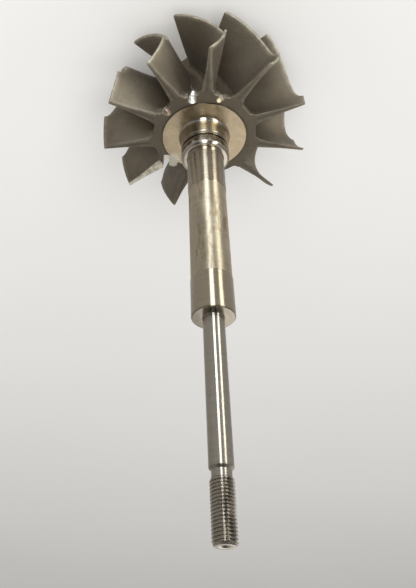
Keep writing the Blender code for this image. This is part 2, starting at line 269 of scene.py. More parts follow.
def connect(nodes, shader, **inputs):
    names = {
        "colour": "Base Color",
        "roughness": "Roughness",
        "normal": "Normal",
        "metallic": "Metallic",
        "stretch": "Anisotropic",
        "turn": "Anisotropic Rotation",
        "tangent": "Tangent",
    }
    for key, value in inputs.items():
        socket = shader.inputs[names[key]]
        if isinstance(value, bpy.types.NodeSocket):
            nodes.tree.links.new(value, socket)
        else:
            socket.default_value = value


def shaded(colour, factor):
    return tuple(factor * part for part in colour)


def spread_highlights(nodes, shader, amount):
    """Draw the highlights out along the shaft, as fine marks round the axis do."""
    around_axis = nodes.add("ShaderNodeTangent", direction_type="RADIAL", axis="Z").outputs[0]
    connect(nodes, shader, stretch=amount, turn=0.25, tangent=around_axis)


PATCH_COLOUR = (0.56, 0.53, 0.44)
# Colour of sooty staining, also used for painted shade
SOOT_AND_SHADE_COLOUR = (0.060, 0.048, 0.034)

# Direction of the wheel's side that is painted darker, a painted shade for the side that gets less light
SHADED_SIDE = (math.cos(math.radians(236.0)), math.sin(math.radians(236.0)), 0.0)


def with_ground_patch(nodes, coords, colour):
    """Colour with the patch on it that was ground across the ring's edge beside the notch."""
    inputs = {
        "Vector": coords,
        "Location": (-0.0148, -0.0152, BACK_HEIGHT),
        "Rotation": (0.0, 0.0, math.radians(-18.0)),
        "Scale": (0.0031, 0.0051, 0.0024),
    }
    local = nodes.add("ShaderNodeMapping", inputs, vector_type="TEXTURE").outputs[0]
    ragged = nodes.math("ADD", nodes.size(local), nodes.noise(coords, 900.0))
    return nodes.mix(nodes.band(ragged, 1.52, 1.40), colour, PATCH_COLOUR)


def cast_material():
    """Sooty cast alloy: fine grain, paler on rubbed edges that also carry a painted highlight, darker in
    the hollows where sooty staining and painted shade are mixed, and painted shade on one side.
    """
    material, nodes, shader, coords = new_material("cast_alloy_skin")
    cloud = nodes.noise(coords, 55.0, detail=5.0, roughness=0.6)
    grain = nodes.noise(coords, 1500.0, detail=5.0, roughness=0.65)
    pits = nodes.noise(coords, 420.0, detail=3.0)
    colour = nodes.mix(nodes.band(cloud, 0.3, 0.7), (0.116, 0.093, 0.065), (0.175, 0.143, 0.102))
    colour = nodes.mix(nodes.band(grain, 0.35, 0.75, 0.0, 0.35), colour, (0.25, 0.217, 0.167))
    # Darker with sooty staining mixed with painted shade, towards the hub and between the blades
    soot = nodes.math("MULTIPLY", nodes.attribute("soot"), nodes.band(cloud, 0.15, 0.65, 0.6, 1.0))
    colour = nodes.mix(soot, colour, SOOT_AND_SHADE_COLOUR)
    # Paler where edges are rubbed: partly real rubbing, partly a painted highlight along the edges
    rubbed_and_highlight = nodes.math("MULTIPLY", nodes.attribute("wear"), nodes.band(pits, 0.3, 0.62, 0.35, 1.0))
    colour = nodes.mix(rubbed_and_highlight, colour, (0.36, 0.325, 0.25))
    # Painted shade: the wheel is darkened towards one side
    side_shade = nodes.band(nodes.along(coords, SHADED_SIDE), 14.0 * MM, 32.0 * MM, 0.0, 0.36)
    colour = nodes.mix(side_shade, colour, SOOT_AND_SHADE_COLOUR)
    colour = with_ground_patch(nodes, coords, colour)
    normal = nodes.bump(grain, 0.04 * MM, 0.5)
    normal = nodes.bump(pits, 0.12 * MM, 0.35, normal)
    roughness = nodes.band(pits, 0.25, 0.75, 0.48, 0.62)
    connect(nodes, shader, colour=colour, roughness=roughness, normal=normal, metallic=0.55)
    return material


def tan_material():
    """Turned back face, tinted and mottled by heat, with fine marks round the axis."""
    material, nodes, shader, coords = new_material("heat_tinted_face")
    marks = nodes.rings(nodes.from_axis(coords), 5200.0)
    cloud = nodes.noise(coords, 170.0, detail=6.0, roughness=0.62)
    spots = nodes.noise(coords, 700.0, detail=4.0, roughness=0.6)
    colour = nodes.mix(nodes.band(cloud, 0.3, 0.7), (0.41, 0.318, 0.195), (0.56, 0.455, 0.305))
    colour = nodes.mix(nodes.band(spots, 0.52, 0.68, 0.0, 0.6), colour, (0.37, 0.31, 0.22))
    colour = nodes.mix(nodes.band(marks, 0.35, 0.7, 0.0, 0.22), colour, (0.74, 0.66, 0.53))
    colour = with_ground_patch(nodes, coords, colour)
    normal = nodes.bump(marks, 0.012 * MM, 0.5)
    normal = nodes.bump(spots, 0.02 * MM, 0.25, normal)
    roughness = nodes.band(cloud, 0.3, 0.7, 0.25, 0.34)
    connect(nodes, shader, colour=colour, roughness=roughness, normal=normal, metallic=1.0)
    return material


def turned_material(name, dark, light, roughness, marks_depth, stains=None, across=False, stretch=1.0):
    """Turned or ground steel, with fine marks round the axis and faint smears along it."""
    material, nodes, shader, coords = new_material(name)
    if across:
        place = nodes.from_axis(coords)
    else:
        place = nodes.add("ShaderNodeSeparateXYZ", {"Vector": coords}).outputs["Z"]
    marks = nodes.rings(place, 9000.0)
    bands = nodes.rings(place, 700.0, detail=2.0)
    stretched = nodes.scaled(coords, (1.0, 1.0, 0.28))
    cloud = nodes.noise(stretched, 150.0, detail=5.0, roughness=0.6)
    colour = nodes.mix(nodes.band(cloud, 0.3, 0.72), dark, light)
    shade = nodes.band(bands, 0.3, 0.7, 0.0, 0.22)
    colour = nodes.mix(shade, colour, shaded(dark, 0.6))
    fine = nodes.band(marks, 0.35, 0.68, 0.0, 0.28)
    colour = nodes.mix(fine, colour, shaded(light, 1.25))
    rough = nodes.band(cloud, 0.3, 0.7, 0.8 * roughness, 1.25 * roughness)
    if stains:
        spots = nodes.noise(stretched, 330.0, detail=6.0, roughness=0.7)
        mask = nodes.band(nodes.math("MULTIPLY", spots, cloud), 0.25, 0.36, 0.0, 0.8)
        colour = nodes.mix(mask, colour, stains)
        rough = nodes.math("ADD", rough, nodes.math("MULTIPLY", mask, 0.12))
    normal = nodes.bump(marks, marks_depth * MM, 0.6)
    connect(nodes, shader, colour=colour, roughness=rough, normal=normal, metallic=1.0)
    if not across:
        spread_highlights(nodes, shader, stretch)
    return material


def cut_material(name, dark, light, metallic):
    """Freshly ground metal, bright and scratched."""
    material, nodes, shader, coords = new_material(name)
    scratches = nodes.noise(nodes.scaled(coords, (1.0, 1.0, 0.12)), 3200.0)
    cloud = nodes.noise(coords, 260.0)
    colour = nodes.mix(nodes.band(cloud, 0.35, 0.65), dark, light)
    marked = nodes.band(scratches, 0.35, 0.7, 0.0, 0.3)
    colour = nodes.mix(marked, colour, shaded(dark, 0.75))
    normal = nodes.bump(scratches, 0.01 * MM, 0.5)
    rough = nodes.band(cloud, 0.3, 0.7, 0.24, 0.36)
    connect(nodes, shader, colour=colour, roughness=rough, normal=normal, metallic=metallic)
    spread_highlights(nodes, shader, 1.0)
    return material


def strip_material():
    """Coarsely ground edge, pale and dull with a streak of darker marks along it."""
    material, nodes, shader, coords = new_material("ground_strip")
    cloud = nodes.noise(coords, 420.0, detail=5.0, roughness=0.65)
    grit = nodes.noise(coords, 2600.0, detail=3.0)
    colour = nodes.mix(nodes.band(cloud, 0.38, 0.6), (0.40, 0.36, 0.28), (0.66, 0.62, 0.52))
    colour = nodes.mix(nodes.band(grit, 0.45, 0.75, 0.0, 0.4), colour, (0.30, 0.27, 0.21))
    normal = nodes.bump(grit, 0.03 * MM, 0.6)
    connect(nodes, shader, colour=colour, roughness=0.5, normal=normal, metallic=0.5)
    return material


# Dark and light colour, roughness, depth of the marks in millimetres, and for some the colour of
# their stains, whether the marks run across a flat end, and how far the highlights are drawn out
TURNED_STEELS = {
    "polished_boss_steel": ((0.27, 0.24, 0.20), (0.385, 0.345, 0.29), 0.2, 0.006, None, False, 0.45),
    "journal_steel": ((0.21, 0.175, 0.127), (0.28, 0.237, 0.182), 0.27, 0.004),
    "relief_steel": ((0.44, 0.375, 0.28), (0.58, 0.51, 0.40), 0.6, 0.003, (0.30, 0.235, 0.15)),
    "stub_steel": ((0.215, 0.192, 0.16), (0.29, 0.263, 0.226), 0.24, 0.003),
    "thread_steel": ((0.27, 0.24, 0.20), (0.38, 0.347, 0.30), 0.22, 0.004, (0.10, 0.085, 0.065)),
    "end_face_steel": ((0.58, 0.52, 0.43), (0.72, 0.66, 0.565), 0.2, 0.006, None, True),
    "journal_end_steel": ((0.38, 0.34, 0.273), (0.48, 0.435, 0.363), 0.19, 0.006, None, True),
}

# Dark and light colour, and how metallic the cut looks
CUT_METALS = {
    # The near-white colours of the first cut are partly bright ground metal and partly a painted highlight
    # on the walls of the first slot and the notch
    "ground_cut": ((0.88, 0.84, 0.76), (0.97, 0.96, 0.93), 0.6),
    "ground_bronze": ((0.42, 0.32, 0.25), (0.62, 0.52, 0.43), 0.8),
    "ground_lip": ((0.40, 0.345, 0.26), (0.66, 0.60, 0.48), 0.7),
    "ground_cream": ((0.62, 0.53, 0.36), (0.88, 0.82, 0.64), 0.3),
}

OTHER_MATERIALS = {
    "ground_strip": strip_material,
    "cast_alloy_skin": cast_material,
    "heat_tinted_face": tan_material,
}


def material_named(name):
    """Material of a name, made the first time that it is asked for."""
    known = bpy.data.materials.get(name)
    if known:
        return known
    if name in TURNED_STEELS:
        return turned_material(name, *TURNED_STEELS[name])
    if name in CUT_METALS:
        return cut_material(name, *CUT_METALS[name])
    return OTHER_MATERIALS[name]()


# Shapes


def finish_mesh(mesh):
    """Merge what touches, turn the faces outward and smooth all but the sharp edges."""
    shape = bmesh.new()
    shape.from_mesh(mesh)
    bmesh.ops.remove_doubles(shape, verts=shape.verts, dist=MERGE_DISTANCE)
    bmesh.ops.dissolve_degenerate(shape, dist=0.1 * MERGE_DISTANCE, edges=shape.edges)
    bmesh.ops.recalc_face_normals(shape, faces=shape.faces)
    shape.to_mesh(mesh)
    shape.free()
    mesh.shade_smooth()
    mesh.set_sharp_from_angle(angle=SMOOTH_ANGLE)


def add_piece(name, mesh, materials=()):
    piece = bpy.data.objects.new(name, mesh)
    bpy.context.scene.collection.objects.link(piece)
    for material in materials:
        mesh.materials.append(material_named(material))
    return piece


def grid_mesh(name, rows, marks=None, wrap=True):
    """Skin over rows of points.  A row of one point closes that end.  marks are attributes."""
    mesh = bpy.data.meshes.new(name)
    points = [point for row in rows for point in row]
    starts = [0]
    for row in rows:
        starts.append(starts[-1] + len(row))
    faces = []
    for index, (upper, lower) in enumerate(zip(rows, rows[1:])):
        top = starts[index]
        bottom = starts[index + 1]
        count = max(len(upper), len(lower))
        for i in range(count if wrap else count - 1):
            j = (i + 1) % count
            if len(upper) == 1:
                faces.append((top, bottom + i, bottom + j))
            elif len(lower) == 1:
                faces.append((top + j, top + i, bottom))
            else:
                faces.append((top + j, top + i, bottom + i, bottom + j))
    mesh.from_pydata(points, [], faces)
    for attribute, values in (marks or {}).items():
        layer = mesh.attributes.new(attribute, "FLOAT", "POINT")
        layer.data.foreach_set("value", values)
    return mesh


def polar(radius, angle, z):
    return (radius * math.cos(angle), radius * math.sin(angle), z)


def angles_round(segments):
    return [math.tau * index / segments for index in range(segments)]


def ring_of(radius, z, segments):
    if radius == 0.0:
        return [(0.0, 0.0, z)]
    return [polar(radius, angle, z) for angle in angles_round(segments)]


def even_steps(first, last, count):
    """Values from first, which is left out, to last."""
    return [first + (last - first) * step / count for step in range(1, count + 1)]


def rounded(outline, segments=4):
    """Outline of (radius, z) points in which each corner (radius, z, reach) is rounded."""
    points = []
    for index, corner in enumerate(outline):
        place = Vector(corner[:2])
        if len(corner) == 2:
            points.append(tuple(place))
            continue
        before = Vector(outline[index - 1][:2])
        after = Vector(outline[index + 1][:2])
        first = place + (before - place).normalized() * corner[2]
        last = place + (after - place).normalized() * corner[2]
        for step in range(segments + 1):
            part = step / segments
            point = first * (1.0 - part) ** 2 + place * 2.0 * part * (1.0 - part) + last * part**2
            points.append(tuple(point))
    return points


# Part of a turned piece below its end that may take the end's material
END_REACH = 0.5 * MM


def turned_piece(name, base, outline, material, end_material=None, segments=160):
    """Turn an outline about Z.  It runs down the outer side, in heights above the base."""
    corners = [(radius, base + height, *reach) for radius, height, *reach in outline]
    rows = [ring_of(radius, z, segments) for radius, z in rounded(corners)]
    mesh = grid_mesh(name, rows)
    finish_mesh(mesh)
    materials = [material]
    if end_material:
        materials.append(end_material)
        end = max(corner[1] for corner in corners) - END_REACH
        for face in mesh.polygons:
            face.material_index = int(face.normal.z > 0.85 and face.center.z > end)
    return add_piece(name, mesh, materials)


def set_piece(piece, slot, *nodes):
    """Attach a finished piece to the root body and hide the imported parts that it stands for."""
    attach(piece, "root")
    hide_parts(*nodes)


def evaluated_copy(item, name):
    """Mesh of an object with its modifiers applied."""
    graph = bpy.context.evaluated_depsgraph_get()
    mesh = bpy.data.meshes.new_from_object(item.evaluated_get(graph), depsgraph=graph)
    mesh.name = name
    return mesh


def cut_away(piece, cutters):
    """Cut shapes out of a piece.  The cut faces take the cutter's material."""
    for cutter in cutters:
        boolean = piece.modifiers.new(cutter.name, "BOOLEAN")
        boolean.object = cutter
        boolean.solver = "EXACT"
        boolean.material_mode = "TRANSFER"
    mesh = evaluated_copy(piece, piece.name)
    piece.modifiers.clear()
    old = piece.data
    piece.data = mesh
    bpy.data.meshes.remove(old)
    mesh.set_sharp_from_angle(angle=SMOOTH_ANGLE)


def remove_objects(items):
    for item in items:
        mesh = item.data
        bpy.data.objects.remove(item, do_unlink=True)
        bpy.data.meshes.remove(mesh)


# Wheel


# Radii between which the ribs' extra thickness fades out
SWELLING_FADE = (25.0 * MM, 41.0 * MM)

# Depths between which the fillets at a blade's root grow from the scallops' corners
FILLET_GROWTH = (2.0 * MM, 10.0 * MM)

# Reach over which the hub's curve and the scallops' bottoms blend into each other
SCALLOP_BLEND = 1.8 * MM


def smooth_part(value, low, high):
    """Smooth step of a value from 0 at low to 1 at high."""
    part = min(max((value - low) / (high - low), 0.0), 1.0)
    return part * part * (3.0 - 2.0 * part)


def smooth_min(first, second, reach):
    """Smaller of two values, blended where they differ by less than a reach."""
    near = max(reach - abs(first - second), 0.0) / reach
    return min(first, second) - 0.25 * near * near * reach


def blade_turn(wheel, depth):
    part = depth / wheel.exit_depth
    first, second, third = TURN_TERMS
    return math.radians(first * part + second * part**2 + third * part**3)


def turn_rate(wheel, depth):
    """Change of a blade's turn with depth."""
    step = 0.01 * MM
    return (blade_turn(wheel, depth + step) - blade_turn(wheel, depth - step)) / (2.0 * step)


def tip_radius(wheel, depth):
    """Outer edge of a blade: the upright inlet edge, then the curve that clears the shroud."""
    if depth <= wheel.inlet_depth:
        return wheel.tip_radius
    part = max(0.0, (wheel.exit_depth - depth) / (wheel.exit_depth - wheel.inlet_depth))
    drop = (1.0 - part**SHROUD_POWER) ** (1.0 / SHROUD_POWER)
    return wheel.tip_radius - (wheel.tip_radius - wheel.exit_radius) * drop


def hub_radius(wheel, depth):
    """Radius of the hub's curve, a quarter of an ellipse from its rim to the exit."""
    part = (wheel.exit_depth - depth) / (wheel.exit_depth - wheel.hub_rim_depth)
    part = min(max(part, 0.0), 1.0)
    rise = 1.0 - math.sqrt(1.0 - part**2)
    return wheel.hub_exit_radius + (wheel.hub_rim_radius - wheel.hub_exit_radius) * rise


def half_arc(wheel, radius, depth):
    """Half of a blade's thickness, along the arc on which a plane across the axis cuts it."""
    part = (radius - wheel.thick_radius) / (wheel.tip_radius - wheel.thick_radius)
    part = min(max(part, 0.0), 1.0)
    thickness = wheel.root_thickness + (wheel.tip_thickness - wheel.root_thickness) * part
    slope = math.atan(radius * turn_rate(wheel, depth))
    swelling = wheel.rib_extra * (1.0 - smooth_part(radius, *SWELLING_FADE))
    swelling *= 1.0 - smooth_part(depth, 0.4 * wheel.rib_depth, wheel.rib_depth)
    return 0.5 * thickness / math.cos(slope) + swelling


def hub_wall(wheel, angle, depth):
    """Radius of the hub at an angle from the blade's middle, with the fillets along its root."""
    pitch = math.tau / wheel.blade_count
    base = smooth_min(hub_radius(wheel, depth), wheel.scallop_bottom, SCALLOP_BLEND)
    half = half_arc(wheel, base, depth)
    deep = smooth_part(depth, *FILLET_GROWTH)
    fillet = wheel.corner + (wheel.fillet - wheel.corner) * deep
    fillet = min(fillet, 0.95 * (0.5 * base * pitch - half))
    gap = min(max(base * abs(angle) - half, 0.0), fillet)
    return base + fillet - math.sqrt(fillet**2 - (fillet - gap) ** 2)


def hub_depths(wheel):
    """Depths of the rows down the hub's wall, close together where it curves most."""
    start = wheel.web_depth + wheel.web_edge
    depths = [start + 0.28 * MM * step for step in range(26)]
    return depths + even_steps(depths[-1], wheel.exit_depth, 34)


HUB_COLUMNS_PER_BLADE = 44

# Depth of the machined ring's seat below the web, and the gap round the ring
SEAT_DEPTH = 1.9 * MM
SEAT_GAP = 0.15 * MM

# Depths below the blades' exit, in millimetres, at which the root fillets run out
RUN_OUT = (0.25, 0.6, 1.0, 1.5, 2.1, 2.8, 4.5)
RUN_OUT_REACH = 2.6 * MM

# Inset and rise, in millimetres, of the points round the edge of the plain nose
NOSE_EDGE = ((0.0, 0.5), (0.04, 0.3), (0.15, 0.13), (0.3, 0.04), (0.5, 0.0))


def nose_rows(wheel, angles, local):
    """Rows down the hub's plain nose, from the blades' exit to its rounded edge."""
    turn = blade_turn(wheel, wheel.exit_depth)
    rows = []
    for below in RUN_OUT:
        fade = 1.0 - smooth_part(below * MM, 0.0, RUN_OUT_REACH)
        row = []
        for angle, from_blade in zip(angles, local):
            proud = hub_wall(wheel, from_blade, wheel.exit_depth) - wheel.hub_exit_radius
            radius = wheel.hub_exit_radius + proud * fade
            row.append((angle + turn, radius, wheel.exit_depth + below * MM, 0.0, 0.35))
        rows.append(row)
    # The nose's rounded edge is paler: partly rubbed metal, partly a painted highlight
    for inset, rise in NOSE_EDGE:
        radius = wheel.hub_exit_radius - inset * MM
        depth = wheel.nose_depth - rise * MM
        rows.append([(angle + turn, radius, depth, 0.25, 0.3) for angle in angles])
    return rows


def hub_rows(wheel):
    """Rows of (angle, radius, depth, paler mark, darker mark) from the ring's seat over the web to the
    nose.  The paler mark is partly rubbed metal and partly painted highlight; the darker mark is partly
    sooty staining and partly painted shade.
    """
    columns = HUB_COLUMNS_PER_BLADE * wheel.blade_count
    pitch = math.tau / wheel.blade_count
    angles = angles_round(columns)
    local = [(angle + 0.5 * pitch) % pitch - 0.5 * pitch for angle in angles]
    top = wheel.web_depth
    edge = wheel.web_edge
    seat = wheel.ring_radius + SEAT_GAP
    rims = [hub_wall(wheel, angle, top + edge) for angle in local]
    # The web is darkest at the ring and lighter outward: partly sooty staining, partly painted shade
    rows = [[(angle, seat, top + SEAT_DEPTH, 0.0, 1.0) for angle in angles]]
    rows.append([(angle, seat, top, 0.0, 0.9) for angle in angles])
    for part in (0.04, 0.12, 0.25, 0.4, 0.55, 0.7, 0.82, 0.92, 1.0):
        soot = 0.45 + 0.25 * (1.0 - smooth_part(part, 0.0, 0.35))
        radii = [seat + (rim - edge - seat) * part for rim in rims]
        rows.append([(angle, radius, top, 0.0, soot) for angle, radius in zip(angles, radii)])
    # The web's rounded edge is paler: partly rubbed metal, partly a painted highlight
    for step in range(1, 6):
        turn = 0.5 * math.pi * (1.0 - step / 6)
        depth = top + edge * (1.0 - math.sin(turn))
        radii = [rim - edge * (1.0 - math.cos(turn)) for rim in rims]
        rows.append([(angle, radius, depth, 0.22, 0.55) for angle, radius in zip(angles, radii)])
    for depth in hub_depths(wheel):
        turn = blade_turn(wheel, depth)
        # The hub's wall is darker near the back face: partly sooty staining, partly painted shade
        soot = 0.5 - 0.15 * smooth_part(depth, 3.0 * MM, 13.0 * MM)
        # The top of the hub's wall is paler: partly rubbed metal, partly a painted highlight
        wear = 0.4 * (1.0 - smooth_part(depth, top + edge, top + edge + 0.6 * MM))
        radii = [hub_wall(wheel, from_blade, depth) for from_blade in local]
        rows.append([(angle + turn, radius, depth, wear, soot) for angle, radius in zip(angles, radii)])
    return rows + nose_rows(wheel, angles, local)


def wheel_point(wheel, angle, radius, depth):
    return polar(radius, wheel.phase + angle, wheel.back_height - depth)


def hub_piece(wheel):
    """Casting's hub, with its web, scallops and plain nose."""
    top = (0.0, 0.0, wheel.web_depth + SEAT_DEPTH, 0.0, 1.0)
    bottom = (0.0, 0.0, wheel.nose_depth, 0.0, 1.0)
    entries = [[top]] + hub_rows(wheel) + [[bottom]]
    rows = [[wheel_point(wheel, *entry[:3]) for entry in row] for row in entries]
    wear = [entry[3] for row in entries for entry in row]
    soot = [entry[4] for row in entries for entry in row]
    mesh = grid_mesh("wheel_hub_casting", rows, {"wear": wear, "soot": soot})
    finish_mesh(mesh)
    return add_piece("wheel_hub_casting", mesh, ["cast_alloy_skin"])


def mesh_from(shape, name):
    """Mesh that holds a bmesh, which is freed."""
    mesh = bpy.data.meshes.new(name)
    shape.to_mesh(mesh)
    shape.free()
    return mesh


def slot_cutter(name, edge, size, angle, depth, lean, material, floor):
    """Block with rounded corners, hung from the top edge of its inner wall, that leans inward.

    Its walls cut with the first material, and its end with the second.
    """
    rise = 1.0 * MM
    shape = bmesh.new()
    block = Matrix.Translation((0.5 * size[0], 0.0, 0.5 * (rise - depth)))
    block @= Matrix.Diagonal((size[0], size[1], depth + rise, 1.0))
    bmesh.ops.create_cube(shape, size=1.0, matrix=block)
    upright = [side for side in shape.edges if side.verts[0].co.xy == side.verts[1].co.xy]
    corner = 0.3 * min(size)
    bmesh.ops.bevel(shape, geom=upright, offset=corner, segments=8, profile=0.5, affect="EDGES")
    for face in shape.faces:
        if face.normal.z < -0.5:
            face.material_index = 1
    turn = Matrix.Rotation(angle, 4, "Z") @ Matrix.Rotation(lean, 4, "Y")
    bmesh.ops.transform(shape, matrix=Matrix.Translation(edge) @ turn, verts=shape.verts)
    return add_piece(name, mesh_from(shape, name), [material, floor])


# Each slot ground for balance: middle of its inner wall's top edge in millimetres, the angle that
# the wall faces, its width and depth in millimetres, its inward lean, and its material
BALANCE_SLOTS = (
    ((-6.3, 19.7), 94.0, 3.1, 13.4, 10.5, "ground_cut"),
    ((-7.2, 20.1), 94.0, 2.6, 11.0, 10.5, "ground_lip"),
    ((6.4, 21.7), 76.0, 2.8, 9.0, 8.0, "ground_lip"),
)
SLOT_LENGTH = 9.0 * MM

# Each bowl ground for balance: its middle and half sizes in millimetres, its turn, its material
BALANCE_BOWLS = (
    ((-18.4, 14.8), (2.6, 1.9, 3.4), 141.0, "ground_bronze"),
    ((5.6, 21.6), (1.4, 1.25, 1.5), 78.0, "ground_cream"),
)


def bowl_cutter(name, middle, sizes, angle, top, material):
    """Ball that grinds one bowl into the edge of a scallop."""
    shape = bmesh.new()
    place = Matrix.Translation((middle[0] * MM, middle[1] * MM, top - 0.2 * MM))
    place @= Matrix.Rotation(math.radians(angle), 4, "Z")
    place @= Matrix.Diagonal((sizes[0] * MM, sizes[1] * MM, sizes[2] * MM, 1.0))
    bmesh.ops.create_uvsphere(shape, u_segments=40, v_segments=24, radius=1.0, matrix=place)
    mesh = mesh_from(shape, name)
    mesh.shade_smooth()
    return add_piece(name, mesh, [material])


def balance_cutters(wheel):
    """Cutters of all the slots and bowls ground for balance."""
    cutters = []
    for index, (edge, facing, width, depth, lean, material) in enumerate(BALANCE_SLOTS):
        edge = (edge[0] * MM, edge[1] * MM, wheel.back_height)
        size = (SLOT_LENGTH, width * MM)
        angle = math.radians(facing)
        name = f"slot_{index}"
        lean = math.radians(lean)
        cutters.append(slot_cutter(name, edge, size, angle, depth * MM, lean, material, "cast_alloy_skin"))
    for index, (middle, sizes, angle, material) in enumerate(BALANCE_BOWLS):
        cutters.append(bowl_cutter(f"bowl_{index}", middle, sizes, angle, wheel.back_height, material))
    return cutters


# Notch across the scallop's corner and the root of one blade: the middle of its inner wall's top
# edge, its length and width, and its depth.  It is cut wider in the blade than in the hub, so
# that their walls don't meet.
NOTCH_EDGE = (-17.9 * MM, -11.6 * MM)
NOTCH_SIZE = (10.0 * MM, 2.8 * MM)
NOTCH_DEPTH = 3.9 * MM
NOTCH_CLEARANCE = 0.2 * MM


def notch_cutter(wheel, extra=0.0):
    """Block that cuts the notch, enlarged by a clearance on every side."""
    edge = (NOTCH_EDGE[0], NOTCH_EDGE[1] + extra, wheel.back_height)
    size = (NOTCH_SIZE[0] + 2.0 * extra, NOTCH_SIZE[1] + 2.0 * extra)
    turn = math.radians(-90.0)
    return slot_cutter("notch", edge, size, turn, NOTCH_DEPTH + extra, 0.0, "ground_cut", "ground_cut")


# Blades


TIP_ROUNDING = 0.5 * MM
BACK_ROUNDING = 0.4 * MM
EXIT_ROUNDING = 0.5 * MM
ROUND_STEPS = (0.0, 0.08, 0.3, 0.62, 1.0)

# How far a blade's root is buried in the hub, and the radius that it never reaches past
ROOT_BURIED = 1.5 * MM
ROOT_LIMIT = 21.5 * MM


def round_off(distance, reach):
    """Part of the full thickness at a distance from a rounded edge."""
    part = min(max(distance / reach, 0.0), 1.0)
    return math.sqrt(1.0 - (1.0 - part) ** 2)


def blade_depths(wheel):
    """Depths of the rows down a blade.  The first two are both at its flat back edge."""
    depths = [0.0] + [BACK_ROUNDING * step for step in ROUND_STEPS]
    depths += [step * MM for step in (1.2, 2.0, 3.0, 4.0, 5.2, 6.5, 8.0, 9.5, 11.0, 12.5, 13.6, 14.2)]
    span = wheel.exit_depth - wheel.inlet_depth
    depths.append(wheel.inlet_depth)
    for drop in (0.06, 0.12, 0.19, 0.27, 0.36, 0.46, 0.56):
        part = (1.0 - drop**SHROUD_POWER) ** (1.0 / SHROUD_POWER)
        depths.append(wheel.exit_depth - span * part)
    depths += even_steps(depths[-1], wheel.exit_depth - 1.6 * EXIT_ROUNDING, 22)
    depths += [wheel.exit_depth - EXIT_ROUNDING * step for step in reversed(ROUND_STEPS)]
    return depths


def blade_radii(wheel, depth):
    """Radii of the points across a blade, from inside the hub to its rounded tip."""
    inner = min(hub_radius(wheel, depth) - ROOT_BURIED, ROOT_LIMIT)
    tip = tip_radius(wheel, depth)
    radii = [inner] + even_steps(inner, tip - 1.8 * TIP_ROUNDING, 20)
    return radii + [tip - TIP_ROUNDING * step for step in reversed(ROUND_STEPS)]


def back_edge_depth(wheel, radius):
    """Depth of a blade's back edge: level with the web, then rising slowly to the tip."""
    level = wheel.web_depth * (1.0 - smooth_part(radius, 25.0 * MM, 46.0 * MM))
    return level + 0.06 * MM * (1.0 - smooth_part(radius, 25.2 * MM, 26.2 * MM))


def blade_mesh(wheel):
    """Thin twisted plate with rounded edges, its back edge on the +X side."""
    sides = {-1.0: [], 1.0: []}
    marks = {"wear": [], "soot": []}
    for index, depth in enumerate(blade_depths(wheel)):
        radii = blade_radii(wheel, depth)
        inset = BACK_ROUNDING * (1.0 - round_off(depth, BACK_ROUNDING))
        rounding = round_off(wheel.exit_depth - depth, EXIT_ROUNDING)
        for side, rows in sides.items():
            row = []
            for radius in radii:
                back = back_edge_depth(wheel, radius)
                low = back + depth * (1.0 - back / wheel.exit_depth)
                arc = max(half_arc(wheel, radius, depth) - inset, 0.0) if index else 0.0
                arc *= rounding * round_off(radii[-1] - radius, TIP_ROUNDING)
                angle = blade_turn(wheel, depth) + side * arc / radius
                row.append(polar(radius, angle, -low))
            rows.append(row)
    rows = [first + second[::-1] for first, second in zip(sides[-1.0], sides[1.0])]
    for index, (depth, row) in enumerate(zip(blade_depths(wheel), rows)):
        tip = math.hypot(*row[len(row) // 2][:2])
        flat = 1.0 - smooth_part(depth, 0.0, 0.3 * MM)
        # Back edges and tips are paler: partly rubbed metal, partly a painted highlight
        back = 0.35 * (1.0 - smooth_part(depth, 0.2 * MM, 0.8 * MM)) if index else 0.0
        for x, y, _ in row:
            radius = math.hypot(x, y)
            rim = 0.9 * (1.0 - smooth_part(tip - radius, 0.4 * MM, 1.4 * MM))
            marks["wear"].append(max(back, rim))
            # Darker towards the hub, partly sooty staining and partly painted shade, and darker on the flat
            # back edge away from the tip
            inner = 1.0 - smooth_part(radius, 24.0 * MM, 44.0 * MM)
            outer = 1.0 - smooth_part(radius, 36.0 * MM, 48.0 * MM)
            marks["soot"].append(max(0.5 * inner, 0.75 * flat * outer))
    mesh = grid_mesh("blade", rows, marks)
    finish_mesh(mesh)
    return mesh


